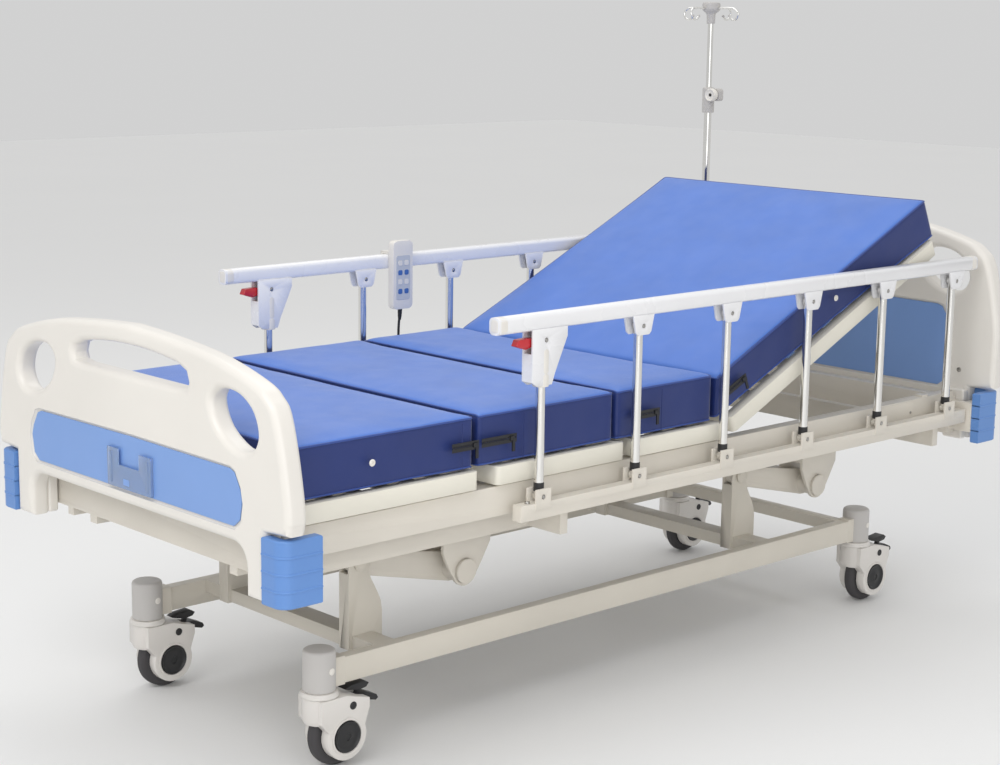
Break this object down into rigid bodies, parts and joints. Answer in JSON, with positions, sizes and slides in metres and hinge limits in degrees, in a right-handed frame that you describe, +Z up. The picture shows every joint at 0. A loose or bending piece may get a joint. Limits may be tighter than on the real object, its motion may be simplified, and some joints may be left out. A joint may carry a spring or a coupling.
{
  "type": "adjustable hospital bed",
  "caption": "Electric adjustable hospital bed on braked casters, with folding side rails, a four-section deck, a sectioned mattress, end boards and an infusion pole.",
  "frame": {"origin": "on the floor, under the middle of the bed", "axes": "+X from the foot to the head, +Y towards the side with the infusion pole, +Z up"},
  "size_m": [2.1845, 1.0025, 1.433],
  "materials": {
    "frame_paint": "warm grey-white powder coat, fine orange peel",
    "deck_paint": "ivory powder coat",
    "board_plastic": "blow-moulded warm white plastic, light satin",
    "bumper_plastic": "light blue moulded plastic",
    "mattress_cover": "royal blue coated fabric cover over foam",
    "clear_plastic": "clear pocket with a faint blue tint",
    "chrome_tube": "polished chrome plate",
    "bare_steel": "ground steel rod",
    "rail_aluminium": "white anodised aluminium with a soft sheen",
    "red_plastic": "moulded red plastic",
    "motor_plastic": "grey motor housing",
    "black_plastic": "black moulded plastic",
    "caster_tread": "dark grey non-marking tread, black hub",
    "cord_jacket": "black flexible jacket"
  },
  "bodies": {
    "base": {"base_frame": "frame_paint"},
    "foot_arm": {"foot_lift_arm": "frame_paint"},
    "head_arm": {"head_lift_arm": "frame_paint"},
    "frame": {"bed_frame": "frame_paint", "deck_seat": "deck_paint", "mattress_seat": "mattress_cover", "footboard": "board_plastic", "headboard": "board_plastic", "chart_holder": "clear_plastic", "bumper_foot_near": "bumper_plastic", "bumper_foot_far": "bumper_plastic", "bumper_head_near": "bumper_plastic", "bumper_head_far": "bumper_plastic", "lower_rail_near": "frame_paint", "lower_rail_far": "frame_paint", "iv_pole_lower": "chrome_tube", "pendant_cord": "cord_jacket", "twin_drive": "motor_plastic", "lift_actuator": "motor_plastic"},
    "calf": {"deck_calf": "deck_paint", "mattress_calf": "mattress_cover"},
    "thigh": {"deck_thigh": "deck_paint", "mattress_thigh": "mattress_cover"},
    "back": {"deck_back": "deck_paint", "mattress_back": "mattress_cover"},
    "back_drive_rod": {"back_pusher": "bare_steel"},
    "leg_drive_rod": {"leg_pusher": "bare_steel"},
    "lift_drive_rod": {"lift_rod": "bare_steel"},
    "pole_top": {"iv_pole_upper": "chrome_tube"},
    "pole_knob": {"iv_knob": "board_plastic"},
    "handset": {"pendant": "board_plastic"},
    "post_near_1": {"rail_post_near_1": "chrome_tube"},
    "post_near_2": {"rail_post_near_2": "chrome_tube"},
    "post_near_3": {"rail_post_near_3": "chrome_tube"},
    "post_near_4": {"rail_post_near_4": "chrome_tube"},
    "post_near_5": {"rail_post_near_5": "chrome_tube"},
    "post_near_6": {"rail_post_near_6": "chrome_tube"},
    "handrail_near": {"handrail_near": "rail_aluminium"},
    "release_near": {"release_lever_near": "red_plastic"},
    "post_far_1": {"rail_post_far_1": "chrome_tube"},
    "post_far_2": {"rail_post_far_2": "chrome_tube"},
    "post_far_3": {"rail_post_far_3": "chrome_tube"},
    "post_far_4": {"rail_post_far_4": "chrome_tube"},
    "post_far_5": {"rail_post_far_5": "chrome_tube"},
    "post_far_6": {"rail_post_far_6": "chrome_tube"},
    "handrail_far": {"handrail_far": "rail_aluminium"},
    "release_far": {"release_lever_far": "red_plastic"},
    "caster_foot_near": {"caster_housing_foot_near": "board_plastic"},
    "wheel_foot_near": {"caster_wheel_foot_near": "caster_tread"},
    "brake_foot_near": {"caster_pedal_foot_near": "black_plastic"},
    "caster_foot_far": {"caster_housing_foot_far": "board_plastic"},
    "wheel_foot_far": {"caster_wheel_foot_far": "caster_tread"},
    "brake_foot_far": {"caster_pedal_foot_far": "black_plastic"},
    "caster_head_near": {"caster_housing_head_near": "board_plastic"},
    "wheel_head_near": {"caster_wheel_head_near": "caster_tread"},
    "brake_head_near": {"caster_pedal_head_near": "black_plastic"},
    "caster_head_far": {"caster_housing_head_far": "board_plastic"},
    "wheel_head_far": {"caster_wheel_head_far": "caster_tread"},
    "brake_head_far": {"caster_pedal_head_far": "black_plastic"}
  },
  "joints": [
    {"name": "lift", "type": "hinge", "parent": "base", "child": "foot_arm", "pos_m": [-0.698, 0, 0.353], "axis": [0, -1, 0], "range_deg": [-23, 36]},
    {"name": "frame_level", "type": "hinge", "parent": "foot_arm", "child": "frame", "pos_m": [-0.45835, 0, 0.30206], "axis": [0, -1, 0], "range_deg": [-36, 23]},
    {"name": "head_lift", "type": "hinge", "parent": "base", "child": "head_arm", "pos_m": [0.432, 0, 0.353], "axis": [0, -1, 0], "range_deg": [-23, 36]},
    {"name": "lift_drive", "type": "slide", "parent": "frame", "child": "lift_drive_rod", "axis": [-1, 0, 0], "range_m": [-0.0262, 0.0412]},
    {"name": "back_raise", "type": "hinge", "parent": "frame", "child": "back", "pos_m": [0.147, 0, 0.534], "axis": [0, -1, 0], "range_deg": [-25, 50], "deforming": ["mattress_back"]},
    {"name": "back_drive", "type": "slide", "parent": "frame", "child": "back_drive_rod", "axis": [1, 0, 0], "range_m": [-0.0448, 0.0896]},
    {"name": "thigh_raise", "type": "hinge", "parent": "frame", "child": "thigh", "pos_m": [-0.155, 0, 0.534], "axis": [0, 1, 0], "range_deg": [0, 35], "deforming": ["mattress_thigh", "mattress_seat"]},
    {"name": "calf_fold", "type": "hinge", "parent": "thigh", "child": "calf", "pos_m": [-0.545, 0, 0.534], "axis": [0, 1, 0], "range_deg": [-65, 0]},
    {"name": "leg_drive", "type": "slide", "parent": "frame", "child": "leg_drive_rod", "axis": [-1, 0, 0], "range_m": [0, 0.0664]},
    {"name": "rail_fold_near", "type": "hinge", "parent": "frame", "child": "post_near_1", "pos_m": [-0.433, -0.434, 0.487], "axis": [0, -1, 0], "range_deg": [0, 75]},
    {"name": "post_fold_near_2", "type": "hinge", "parent": "frame", "child": "post_near_2", "pos_m": [-0.1634, -0.434, 0.487], "axis": [0, -1, 0], "range_deg": [0, 75]},
    {"name": "post_fold_near_3", "type": "hinge", "parent": "frame", "child": "post_near_3", "pos_m": [0.1062, -0.434, 0.487], "axis": [0, -1, 0], "range_deg": [0, 75]},
    {"name": "post_fold_near_4", "type": "hinge", "parent": "frame", "child": "post_near_4", "pos_m": [0.3758, -0.434, 0.487], "axis": [0, -1, 0], "range_deg": [0, 75]},
    {"name": "post_fold_near_5", "type": "hinge", "parent": "frame", "child": "post_near_5", "pos_m": [0.6454, -0.434, 0.487], "axis": [0, -1, 0], "range_deg": [0, 75]},
    {"name": "post_fold_near_6", "type": "hinge", "parent": "frame", "child": "post_near_6", "pos_m": [0.915, -0.434, 0.487], "axis": [0, -1, 0], "range_deg": [0, 75]},
    {"name": "handrail_level_near", "type": "hinge", "parent": "post_near_1", "child": "handrail_near", "pos_m": [-0.433, -0.434, 0.792], "axis": [0, -1, 0], "range_deg": [-75, 0]},
    {"name": "release_near", "type": "hinge", "parent": "handrail_near", "child": "release_near", "pos_m": [-0.457, -0.434, 0.789], "axis": [0, 1, 0], "range_deg": [0, 9], "stiffness_Nm_per_rad": 1.2, "springref_deg": -8.59},
    {"name": "rail_fold_far", "type": "hinge", "parent": "frame", "child": "post_far_1", "pos_m": [-0.433, 0.434, 0.487], "axis": [0, -1, 0], "range_deg": [0, 75]},
    {"name": "post_fold_far_2", "type": "hinge", "parent": "frame", "child": "post_far_2", "pos_m": [-0.1634, 0.434, 0.487], "axis": [0, -1, 0], "range_deg": [0, 75]},
    {"name": "post_fold_far_3", "type": "hinge", "parent": "frame", "child": "post_far_3", "pos_m": [0.1062, 0.434, 0.487], "axis": [0, -1, 0], "range_deg": [0, 75]},
    {"name": "post_fold_far_4", "type": "hinge", "parent": "frame", "child": "post_far_4", "pos_m": [0.3758, 0.434, 0.487], "axis": [0, -1, 0], "range_deg": [0, 75]},
    {"name": "post_fold_far_5", "type": "hinge", "parent": "frame", "child": "post_far_5", "pos_m": [0.6454, 0.434, 0.487], "axis": [0, -1, 0], "range_deg": [0, 75]},
    {"name": "post_fold_far_6", "type": "hinge", "parent": "frame", "child": "post_far_6", "pos_m": [0.915, 0.434, 0.487], "axis": [0, -1, 0], "range_deg": [0, 75]},
    {"name": "handrail_level_far", "type": "hinge", "parent": "post_far_1", "child": "handrail_far", "pos_m": [-0.433, 0.434, 0.792], "axis": [0, -1, 0], "range_deg": [-75, 0]},
    {"name": "release_far", "type": "hinge", "parent": "handrail_far", "child": "release_far", "pos_m": [-0.457, 0.434, 0.789], "axis": [0, 1, 0], "range_deg": [0, 9], "stiffness_Nm_per_rad": 1.2, "springref_deg": -8.59},
    {"name": "swivel_foot_near", "type": "hinge", "parent": "base", "child": "caster_foot_near", "pos_m": [-0.855, -0.29, 0.155], "axis": [0, 0, 1], "continuous": true},
    {"name": "roll_foot_near", "type": "hinge", "parent": "caster_foot_near", "child": "wheel_foot_near", "pos_m": [-0.816, -0.29, 0.0625], "axis": [0, 1, 0], "continuous": true},
    {"name": "brake_foot_near", "type": "hinge", "parent": "caster_foot_near", "child": "brake_foot_near", "pos_m": [-0.769, -0.29, 0.12], "axis": [0, 1, 0], "range_deg": [0, 12]},
    {"name": "swivel_foot_far", "type": "hinge", "parent": "base", "child": "caster_foot_far", "pos_m": [-0.855, 0.29, 0.155], "axis": [0, 0, 1], "continuous": true},
    {"name": "roll_foot_far", "type": "hinge", "parent": "caster_foot_far", "child": "wheel_foot_far", "pos_m": [-0.816, 0.29, 0.0625], "axis": [0, 1, 0], "continuous": true},
    {"name": "brake_foot_far", "type": "hinge", "parent": "caster_foot_far", "child": "brake_foot_far", "pos_m": [-0.769, 0.29, 0.12], "axis": [0, 1, 0], "range_deg": [0, 12]},
    {"name": "swivel_head_near", "type": "hinge", "parent": "base", "child": "caster_head_near", "pos_m": [0.783, -0.29, 0.155], "axis": [0, 0, 1], "continuous": true},
    {"name": "roll_head_near", "type": "hinge", "parent": "caster_head_near", "child": "wheel_head_near", "pos_m": [0.822, -0.29, 0.0625], "axis": [0, 1, 0], "continuous": true},
    {"name": "brake_head_near", "type": "hinge", "parent": "caster_head_near", "child": "brake_head_near", "pos_m": [0.869, -0.29, 0.12], "axis": [0, 1, 0], "range_deg": [0, 12]},
    {"name": "swivel_head_far", "type": "hinge", "parent": "base", "child": "caster_head_far", "pos_m": [0.783, 0.29, 0.155], "axis": [0, 0, 1], "continuous": true},
    {"name": "roll_head_far", "type": "hinge", "parent": "caster_head_far", "child": "wheel_head_far", "pos_m": [0.822, 0.29, 0.0625], "axis": [0, 1, 0], "continuous": true},
    {"name": "brake_head_far", "type": "hinge", "parent": "caster_head_far", "child": "brake_head_far", "pos_m": [0.869, 0.29, 0.12], "axis": [0, 1, 0], "range_deg": [0, 12]},
    {"name": "pole_height", "type": "slide", "parent": "frame", "child": "pole_top", "axis": [0, 0, 1], "range_m": [-0.15, 0.35]},
    {"name": "pole_clamp", "type": "hinge", "parent": "frame", "child": "pole_knob", "pos_m": [1.015, 0.392, 1.192], "axis": [-1, 0, 0], "range_deg": [0, 360]},
    {"name": "handset_unhook", "type": "slide", "parent": "frame", "child": "handset", "axis": [0, 0, 1], "range_m": [0, 0.05]}
  ],
  "couplings": [
    {"joint": "frame_level", "follows": "lift", "ratio": -1},
    {"joint": "head_lift", "follows": "lift", "ratio": 1},
    {"joint": "lift_drive", "follows": "lift", "m_per_rad": 0.065},
    {"joint": "back_drive", "follows": "back_raise", "m_per_rad": 0.1023},
    {"joint": "calf_fold", "follows": "thigh_raise", "ratio": -1.85},
    {"joint": "leg_drive", "follows": "thigh_raise", "m_per_rad": 0.1083},
    {"joint": "post_fold_near_2", "follows": "rail_fold_near", "ratio": 1},
    {"joint": "post_fold_near_3", "follows": "rail_fold_near", "ratio": 1},
    {"joint": "post_fold_near_4", "follows": "rail_fold_near", "ratio": 1},
    {"joint": "post_fold_near_5", "follows": "rail_fold_near", "ratio": 1},
    {"joint": "post_fold_near_6", "follows": "rail_fold_near", "ratio": 1},
    {"joint": "handrail_level_near", "follows": "rail_fold_near", "ratio": -1},
    {"joint": "post_fold_far_2", "follows": "rail_fold_far", "ratio": 1},
    {"joint": "post_fold_far_3", "follows": "rail_fold_far", "ratio": 1},
    {"joint": "post_fold_far_4", "follows": "rail_fold_far", "ratio": 1},
    {"joint": "post_fold_far_5", "follows": "rail_fold_far", "ratio": 1},
    {"joint": "post_fold_far_6", "follows": "rail_fold_far", "ratio": 1},
    {"joint": "handrail_level_far", "follows": "rail_fold_far", "ratio": -1}
  ]
}
